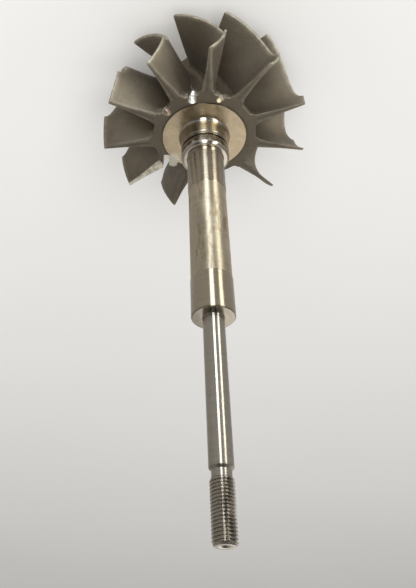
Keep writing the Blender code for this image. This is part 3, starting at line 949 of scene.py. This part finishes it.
def ring_tree():
    """Geometry Nodes tree that sets copies of an object in a ring about Z."""
    tree = bpy.data.node_groups.new("Blade ring", "GeometryNodeTree")
    tree.is_modifier = True
    face = tree.interface
    face.new_socket("Geometry", in_out="INPUT", socket_type="NodeSocketGeometry")
    face.new_socket("Blade", in_out="INPUT", socket_type="NodeSocketObject")
    count = face.new_socket("Count", in_out="INPUT", socket_type="NodeSocketInt")
    count.default_value = 11
    face.new_socket("Phase", in_out="INPUT", socket_type="NodeSocketFloat")
    face.new_socket("Height", in_out="INPUT", socket_type="NodeSocketFloat")
    face.new_socket("Material", in_out="INPUT", socket_type="NodeSocketMaterial")
    face.new_socket("Geometry", in_out="OUTPUT", socket_type="NodeSocketGeometry")
    nodes = NodeBuilder(tree)
    given = nodes.add("NodeGroupInput").outputs
    place = nodes.add("ShaderNodeCombineXYZ", {"Z": given["Height"]}).outputs[0]
    points = nodes.add("GeometryNodePoints", {"Count": given["Count"], "Position": place})
    step = nodes.math("DIVIDE", math.tau, given["Count"])
    index = nodes.add("GeometryNodeInputIndex").outputs[0]
    turn = nodes.math("ADD", nodes.math("MULTIPLY", index, step), given["Phase"])
    turned = nodes.add("ShaderNodeCombineXYZ", {"Z": turn}).outputs[0]
    blade = nodes.add("GeometryNodeObjectInfo", {"Object": given["Blade"]}).outputs["Geometry"]
    inputs = {"Points": points.outputs[0], "Instance": blade, "Rotation": turned}
    ring = nodes.add("GeometryNodeInstanceOnPoints", inputs).outputs[0]
    solid = nodes.add("GeometryNodeRealizeInstances", {"Geometry": ring}).outputs[0]
    inputs = {"Geometry": solid, "Material": given["Material"]}
    painted = nodes.add("GeometryNodeSetMaterial", inputs).outputs[0]
    nodes.add("NodeGroupOutput", {"Geometry": painted})
    return tree


def set_inputs(modifier, **values):
    """Set a Geometry Nodes modifier's inputs by their names."""
    for item in modifier.node_group.interface.items_tree:
        if item.item_type == "SOCKET" and item.in_out == "INPUT" and item.name in values:
            modifier[item.identifier] = values[item.name]


def blades_piece(wheel):
    """All the blades, as one mesh made by the Geometry Nodes ring."""
    source = add_piece("one_blade", blade_mesh(wheel), ["cast_alloy_skin"])
    ring = add_piece("wheel_blades", bpy.data.meshes.new("wheel_blades"))
    modifier = ring.modifiers.new("Ring", "NODES")
    modifier.node_group = ring_tree()
    set_inputs(
        modifier,
        Blade=source,
        Count=wheel.blade_count,
        Phase=wheel.phase,
        Height=wheel.back_height,
        Material=material_named("cast_alloy_skin"),
    )
    mesh = evaluated_copy(ring, "wheel_blades")
    remove_objects([ring, source])
    return add_piece("wheel_blades", mesh)


# Blade whose back edge is ground, the half angle that the strip spans, its depth and inner radius
GROUND_BLADE = 4
GROUND_HALF_ANGLE = math.radians(8.0)
GROUND_DEPTH = 0.7 * MM
GROUND_FROM = 23.0 * MM


def grind_back_edge(piece, wheel):
    """Bright strip along the notched blade's back edge."""
    mesh = piece.data
    bright = len(mesh.materials)
    mesh.materials.append(material_named("ground_strip"))
    middle = wheel.phase + GROUND_BLADE * math.tau / wheel.blade_count
    for face in mesh.polygons:
        centre = face.center
        angle = math.atan2(centre.y, centre.x) - middle
        angle = (angle + math.pi) % math.tau - math.pi
        depth = wheel.back_height - centre.z
        if abs(angle) < GROUND_HALF_ANGLE and depth < GROUND_DEPTH and centre.xy.length > GROUND_FROM:
            face.material_index = bright


class ROTOR_OT_wheel(bpy.types.Operator):
    """Build the cast wheel: the hub with its scallops and ground cuts, and the ring of blades"""

    bl_idname = "rotor.wheel"
    bl_label = "Wheel casting"

    def execute(self, context):
        wheel = context.scene.rotor_wheel
        notch = notch_cutter(wheel)
        wider = notch_cutter(wheel, NOTCH_CLEARANCE)
        cuts = balance_cutters(wheel)
        hub = hub_piece(wheel)
        cut_away(hub, cuts + [notch])
        blades = blades_piece(wheel)
        cut_away(blades, [wider])
        grind_back_edge(blades, wheel)
        remove_objects(cuts + [notch, wider])
        names = [f"blade_{index + 1:02d}" for index in range(wheel.blade_count)]
        set_piece(hub, "cast_alloy", "wheel_hub")
        set_piece(blades, "cast_alloy", *names)
        return {"FINISHED"}


# Power that sets how sharp the hexagon's corners are
CORNER_POWER = 26.0
HEXAGON_SEGMENTS = 180

# Outward step and depth below the hub's nose, in millimetres, of the rows at the hexagon's top,
# and outward step and height of those at its foot
HEXAGON_TOP = ((1.0, -0.1), (0.5, 0.12), (0.18, 0.4), (0.0, 0.9))
HEXAGON_FOOT = ((0.0, 1.0), (-0.06, 0.6), (-0.25, 0.3), (-0.5, 0.1), (-0.8, 0.0))


def hexagon_radius(flats, angle):
    """Radius of a hexagon with softened corners."""
    total = 0.0
    for index in range(6):
        total += max(0.0, math.cos(angle - index * math.pi / 3.0)) ** CORNER_POWER
    return 0.5 * flats / total ** (1.0 / CORNER_POWER)


class ROTOR_OT_nose(bpy.types.Operator):
    """Build the cast hexagon on which the rotor stands"""

    bl_idname = "rotor.nose"
    bl_label = "Nose hexagon"

    def execute(self, context):
        wheel = context.scene.rotor_wheel
        top = wheel.back_height - wheel.nose_depth
        widest = wheel.hub_exit_radius - 0.1 * MM
        levels = [(outward * MM, top - below * MM) for outward, below in HEXAGON_TOP]
        levels.append((0.0, 0.5 * top))
        levels += [(outward * MM, height * MM) for outward, height in HEXAGON_FOOT]
        rows = [[(0.0, 0.0, levels[0][1])]]
        for outward, z in levels:
            row = []
            for angle in angles_round(HEXAGON_SEGMENTS):
                radius = hexagon_radius(wheel.nose_flats, angle - wheel.nose_turn) + outward
                row.append(polar(min(radius, widest), angle, z))
            rows.append(row)
        rows.append([(0.0, 0.0, 0.0)])
        count = sum(len(row) for row in rows)
        marks = {"wear": [0.15] * count, "soot": [0.2] * count}
        mesh = grid_mesh("nose_hexagon_casting", rows, marks)
        finish_mesh(mesh)
        piece = add_piece("nose_hexagon_casting", mesh, ["cast_alloy_skin"])
        set_piece(piece, "cast_alloy", "nose_hexagon")
        return {"FINISHED"}


RING_THICKNESS = 2.0 * MM


class ROTOR_OT_back_ring(bpy.types.Operator):
    """Build the machined ring on the wheel's back"""

    bl_idname = "rotor.back_ring"
    bl_label = "Back face ring"

    def execute(self, context):
        wheel = context.scene.rotor_wheel
        shaft = context.scene.rotor_shaft
        inner = shaft.boss_base_radius - 0.3 * MM
        outer = wheel.ring_radius
        outline = [(inner, -RING_THICKNESS), (inner, 0.0)]
        outline += [(radius, 0.0) for radius in even_steps(inner, outer - 0.5 * MM, 12)]
        outline += [(outer, 0.0), (outer, -RING_THICKNESS), (inner, -RING_THICKNESS)]
        base = wheel.back_height
        name = "machined_back_ring"
        piece = turned_piece(name, base, outline, "journal_steel", "heat_tinted_face", 240)
        set_piece(piece, "machined_back_face", "back_face_ring")
        return {"FINISHED"}


# Shaft


# How far a turned piece is sunk into the one below it
SUNK = 0.1 * MM

# Fine turned line round the boss, and the part of a quarter circle that its foot's fillet spans
LINE_TOP = 8.15 * MM
LINE_DEPTH = 0.14 * MM
FOOT_ARC = math.radians(70.0)
FOOT_HEIGHT = 3.1 * MM


class ROTOR_OT_boss(bpy.types.Operator):
    """Build the seal boss with its groove, chamfer and fillet"""

    bl_idname = "rotor.boss"
    bl_label = "Seal boss"

    def execute(self, context):
        shaft = context.scene.rotor_shaft
        base = context.scene.rotor_wheel.back_height
        radius = shaft.boss_radius
        small = 0.12 * MM
        outline = [
            (0.0, shaft.boss_height),
            (radius - 1.2 * MM, shaft.boss_height, 0.35 * MM),
            (radius, shaft.boss_height - 1.1 * MM, 0.35 * MM),
            (radius, shaft.groove_end, small),
            (shaft.groove_radius, shaft.groove_end, 0.25 * MM),
            (shaft.groove_radius, shaft.groove_start, 0.25 * MM),
            (radius, shaft.groove_start, small),
            (radius, LINE_TOP, small),
            (radius - LINE_DEPTH, LINE_TOP - 0.15 * MM, small),
            (radius - LINE_DEPTH, LINE_TOP - 0.45 * MM, small),
            (radius, LINE_TOP - 0.6 * MM, small),
        ]
        foot = shaft.boss_base_radius + 0.8 * MM
        for step in range(13):
            angle = FOOT_ARC * step / 12
            height = FOOT_HEIGHT * (1.0 - math.sin(angle)) + 0.02 * MM
            outline.append((foot - (foot - radius) * math.cos(angle), height))
        outline += [(outline[-1][0], -SUNK), (0.0, -SUNK)]
        piece = turned_piece("seal_boss_turned", base, outline, "polished_boss_steel", "end_face_steel")
        set_piece(piece, "polished_boss", "seal_boss")
        return {"FINISHED"}


class ROTOR_OT_journals(bpy.types.Operator):
    """Build the two ground journals and the relieved shaft between them"""

    bl_idname = "rotor.journals"
    bl_label = "Journals"

    def execute(self, context):
        shaft = context.scene.rotor_shaft
        base = context.scene.rotor_wheel.back_height
        radius = shaft.journal_radius
        outline = [
            (0.0, shaft.relief_start),
            (radius - 0.3 * MM, shaft.relief_start),
            (radius, shaft.relief_start - 0.5 * MM, 0.12 * MM),
            (radius, shaft.undercut_end, 0.12 * MM),
            (shaft.undercut_radius, shaft.undercut_end - 0.5 * MM, 0.2 * MM),
            (shaft.undercut_radius, shaft.boss_height + 0.7 * MM, 0.3 * MM),
            (shaft.undercut_radius + 0.6 * MM, shaft.boss_height, 0.1 * MM),
            (0.0, shaft.boss_height - 0.3 * MM),
        ]
        first = turned_piece("turbine_journal_ground", base, outline, "journal_steel", "end_face_steel")
        set_piece(first, "ground_journal", "turbine_side_journal")
        outline = [
            (0.0, shaft.relief_end + SUNK),
            (shaft.relief_radius, shaft.relief_end + SUNK),
            (shaft.relief_radius, shaft.relief_start - SUNK),
            (0.0, shaft.relief_start - SUNK),
        ]
        relief = turned_piece("relieved_middle_turned", base, outline, "relief_steel")
        set_piece(relief, "stained_relief", "relieved_middle")
        outline = [
            (0.0, shaft.journal_end),
            (radius - 0.4 * MM, shaft.journal_end, 0.15 * MM),
            (radius, shaft.journal_end - 0.4 * MM, 0.2 * MM),
            (radius, shaft.relief_end, 0.15 * MM),
            (0.0, shaft.relief_end),
        ]
        name = "compressor_journal_ground"
        second = turned_piece(name, base, outline, "journal_steel", "journal_end_steel")
        set_piece(second, "ground_journal", "compressor_side_journal")
        return {"FINISHED"}


STUB_SEGMENTS = 128


class ROTOR_OT_stub(bpy.types.Operator):
    """Build the stub and the neck below the thread"""

    bl_idname = "rotor.stub"
    bl_label = "Stub and neck"

    def execute(self, context):
        shaft = context.scene.rotor_shaft
        base = context.scene.rotor_wheel.back_height
        chamfer = shaft.stub_radius - shaft.neck_radius
        neck = shaft.stub_end + chamfer
        foot = shaft.journal_end
        outline = [
            (0.0, neck),
            (shaft.neck_radius, neck),
            (shaft.stub_radius, neck - chamfer, 0.15 * MM),
            (shaft.stub_radius, foot + 0.5 * MM),
            (shaft.stub_radius + 0.1 * MM, foot + 0.15 * MM),
            (shaft.stub_radius + 0.3 * MM, foot - SUNK),
            (0.0, foot - SUNK),
        ]
        stub = turned_piece("stub_shaft_ground", base, outline, "stub_steel", segments=STUB_SEGMENTS)
        set_piece(stub, "bright_stub", "stub_shaft")
        top = shaft.thread_start + 2.0 * SUNK
        bottom = neck - SUNK
        outline = [(0.0, top), (shaft.neck_radius, top), (shaft.neck_radius, bottom), (0.0, bottom)]
        piece = turned_piece("thread_neck_turned", base, outline, "stub_steel", segments=STUB_SEGMENTS)
        set_piece(piece, "bright_stub", "thread_neck")
        return {"FINISHED"}


CREST_ANGLE = math.radians(95.0)
THREAD_ROWS_PER_PITCH = 24
THREAD_COLUMNS = 72

# Parts of a pitch, from a crest's middle, at which the flank starts and ends
FLANK = (0.07, 0.40)

# Outward step from the centre hole's radius and depth, in millimetres, of the rows at its mouth
HOLE_ROWS = ((-0.9, 1.5), (-0.5, 0.84), (-0.12, 0.16), (0.0, 0.05), (0.12, 0.0), (1.0, 0.0))

# Depth of the chamfer at the thread's end
THREAD_CHAMFER = 0.75 * MM


def thread_surface(shaft, angle, height):
    """Radius of a right-handed sixty-degree thread, chamfered at both ends."""
    turns = (height - shaft.first_crest) / shaft.thread_pitch - (angle - CREST_ANGLE) / math.tau
    off_crest = abs(turns - round(turns))
    part = min(max((off_crest - FLANK[0]) / (FLANK[1] - FLANK[0]), 0.0), 1.0)
    deep = shaft.thread_radius - shaft.thread_root
    radius = shaft.thread_radius - deep * part
    upper = shaft.thread_radius - THREAD_CHAMFER + (shaft.thread_end - height)
    lower = shaft.neck_radius + (height - shaft.thread_start)
    return min(radius, upper, lower)


class ROTOR_OT_thread(bpy.types.Operator):
    """Build the threaded end with its centre hole"""

    bl_idname = "rotor.thread"
    bl_label = "Threaded end"

    def execute(self, context):
        shaft = context.scene.rotor_shaft
        base = context.scene.rotor_wheel.back_height
        tall = shaft.thread_end - shaft.thread_start
        count = round(tall / shaft.thread_pitch * THREAD_ROWS_PER_PITCH)
        top = base + shaft.thread_end
        rows = [[(0.0, 0.0, top - shaft.hole_depth)]]
        for outward, depth in HOLE_ROWS:
            rows.append(ring_of(shaft.hole_radius + outward * MM, top - depth * MM, THREAD_COLUMNS))
        for row_index in range(count + 1):
            height = shaft.thread_end - tall * row_index / count
            row = []
            for angle in angles_round(THREAD_COLUMNS):
                row.append(polar(thread_surface(shaft, angle, height), angle, base + height))
            rows.append(row)
        rows.append([(0.0, 0.0, base + shaft.thread_start)])
        mesh = grid_mesh("threaded_end_cut", rows)
        finish_mesh(mesh)
        piece = add_piece("threaded_end_cut", mesh, ["thread_steel", "end_face_steel"])
        for face in mesh.polygons:
            flat = face.normal.z > 0.9 and face.center.z > top - 0.1 * MM
            face.material_index = int(flat)
        set_piece(piece, "bright_stub", "threaded_end")
        return {"FINISHED"}


# Stage


def aim(item, target):
    """Point a light's -Z axis at a place, with its Y axis as upright as it can be."""
    direction = Vector(target) - item.location
    item.rotation_euler = direction.to_track_quat("-Z", "Y").to_euler()


def add_light(name, place, target, size, power, colour, diffuse=True, glossy=True):
    data = bpy.data.lights.new(name, "AREA")
    data.shape = "RECTANGLE"
    data.size, data.size_y = size
    data.energy = power
    data.color = colour
    light = bpy.data.objects.new(name, data)
    bpy.context.scene.collection.objects.link(light)
    light.location = place
    aim(light, target)
    light.visible_camera = False
    light.visible_diffuse = diffuse
    light.visible_glossy = glossy


# Height of the strip lights' lower ends, their reach above the back face, and how far they stand
# from the shaft's axis
STRIP_FOOT = 0.002
STRIP_RISE = 0.135
STRIP_AWAY = 0.12

# Angle round the axis, width, part of the power and colour of each strip light
STRIPS = {
    "left_strip": (95.5, 0.038, 1.0, (0.86, 0.94, 1.0)),
    "right_strip": (49.5, 0.034, 0.72, (0.96, 1.0, 0.93)),
}

FLOOR_HALF = 4.0


def add_floor():
    """Wide pale floor, faintly uneven in tone."""
    mesh = bpy.data.meshes.new("studio_floor")
    signs = ((-1.0, -1.0), (1.0, -1.0), (1.0, 1.0), (-1.0, 1.0))
    mesh.from_pydata([(x * FLOOR_HALF, y * FLOOR_HALF, 0.0) for x, y in signs], [], [(0, 1, 2, 3)])
    floor = add_piece("studio_floor", mesh)
    material, nodes, shader, coords = new_material("studio_floor_paint")
    cloud = nodes.noise(coords, 4.0, detail=2.0)
    colour = nodes.mix(nodes.band(cloud, 0.3, 0.7), (0.975, 0.975, 0.97), (0.99, 0.99, 0.985))
    connect(nodes, shader, colour=colour, roughness=0.7, metallic=0.0)
    shader.inputs["Specular IOR Level"].default_value = 0.0
    mesh.materials.append(material)


# Direction of the dark stand behind the camera
DARK_STAND = (-0.03, 0.68, 0.73)


def add_world(strength):
    """Pale studio all round, with a dark stand behind the camera that the polished faces mirror."""
    world = bpy.data.worlds.new("studio")
    world.use_nodes = True
    background = world.node_tree.nodes["Background"]
    nodes = NodeBuilder(world.node_tree)
    way = nodes.add("ShaderNodeTexCoord").outputs["Generated"]
    dark = nodes.band(nodes.along(way, DARK_STAND), 0.62, 0.93)
    colour = nodes.mix(dark, (1.0, 0.985, 0.955), (0.24, 0.23, 0.21))
    world.node_tree.links.new(colour, background.inputs["Color"])
    background.inputs["Strength"].default_value = strength
    bpy.context.scene.world = world


def add_camera(stage):
    data = bpy.data.cameras.new("photo_view")
    data.sensor_fit = "AUTO"
    data.sensor_width = 36.0
    data.lens = stage.lens
    data.shift_x = stage.shift_x
    data.shift_y = stage.shift_y
    data.clip_start = 0.01
    data.clip_end = 30.0
    camera = bpy.data.objects.new("photo_view", data)
    bpy.context.scene.collection.objects.link(camera)
    right = Vector(stage.camera_right).normalized()
    up = Vector(stage.camera_up)
    up = (up - right * up.dot(right)).normalized()
    back = right.cross(up)
    turn = Matrix((right, up, back)).transposed().to_4x4()
    camera.matrix_world = Matrix.Translation(stage.camera_place) @ turn
    bpy.context.scene.camera = camera


class ROTOR_OT_stage(bpy.types.Operator):
    """Add the floor, the lights, the world and the photo's camera"""

    bl_idname = "rotor.stage"
    bl_label = "Stage"

    def execute(self, context):
        stage = context.scene.rotor_stage
        add_floor()
        add_world(stage.world_strength)
        place, target = (0.05, 0.85, 1.05), (0.0, 0.0, BACK_HEIGHT)
        colour = (1.0, 0.985, 0.96)
        add_light("overhead", place, target, (1.3, 1.3), stage.overhead_power, colour, glossy=False)
        place, target = (0.45, -0.62, BACK_HEIGHT + 0.535), (0.05, 0.0, BACK_HEIGHT + 0.035)
        colour = (1.0, 0.985, 0.95)
        add_light("card", place, target, (0.9, 0.75), stage.card_power, colour, diffuse=False)
        top = BACK_HEIGHT + STRIP_RISE
        middle = 0.5 * (STRIP_FOOT + top)
        target = (0.0, 0.0, middle)
        for name, (angle, width, share, colour) in STRIPS.items():
            place = polar(STRIP_AWAY, math.radians(angle), middle)
            size = (width, top - STRIP_FOOT)
            add_light(name, place, target, size, share * stage.strip_power, colour, diffuse=False)
        add_camera(stage)
        context.scene.view_settings.view_transform = "Standard"
        return {"FINISHED"}


STEPS = (
    ROTOR_OT_wheel,
    ROTOR_OT_nose,
    ROTOR_OT_back_ring,
    ROTOR_OT_boss,
    ROTOR_OT_journals,
    ROTOR_OT_stub,
    ROTOR_OT_thread,
    ROTOR_OT_stage,
)


class ROTOR_PT_panel(bpy.types.Panel):
    """Sidebar panel that lists the rotor's settings and steps"""

    bl_idname = "ROTOR_PT_panel"
    bl_label = "Turbine rotor"
    bl_space_type = "VIEW_3D"
    bl_region_type = "UI"
    bl_category = "Rotor"

    def draw(self, context):
        scene = context.scene
        for settings in (scene.rotor_wheel, scene.rotor_shaft, scene.rotor_stage):
            box = self.layout.box()
            for name in settings.bl_rna.properties.keys():
                if name not in {"rna_type", "name"}:
                    box.prop(settings, name)
        for step in STEPS:
            self.layout.operator(step.bl_idname)


SETTINGS = {
    "rotor_wheel": RotorWheelSettings,
    "rotor_shaft": RotorShaftSettings,
    "rotor_stage": RotorStageSettings,
}


def register():
    for name, settings in SETTINGS.items():
        bpy.utils.register_class(settings)
        setattr(bpy.types.Scene, name, PointerProperty(type=settings))
    for step in STEPS:
        bpy.utils.register_class(step)
    bpy.utils.register_class(ROTOR_PT_panel)


def unregister():
    bpy.utils.unregister_class(ROTOR_PT_panel)
    for step in reversed(STEPS):
        bpy.utils.unregister_class(step)
    for name, settings in SETTINGS.items():
        delattr(bpy.types.Scene, name)
        bpy.utils.unregister_class(settings)


def main():
    register()
    for step in STEPS:
        group, name = step.bl_idname.split(".")
        getattr(getattr(bpy.ops, group), name)()


if __name__ == "__main__":
    main()
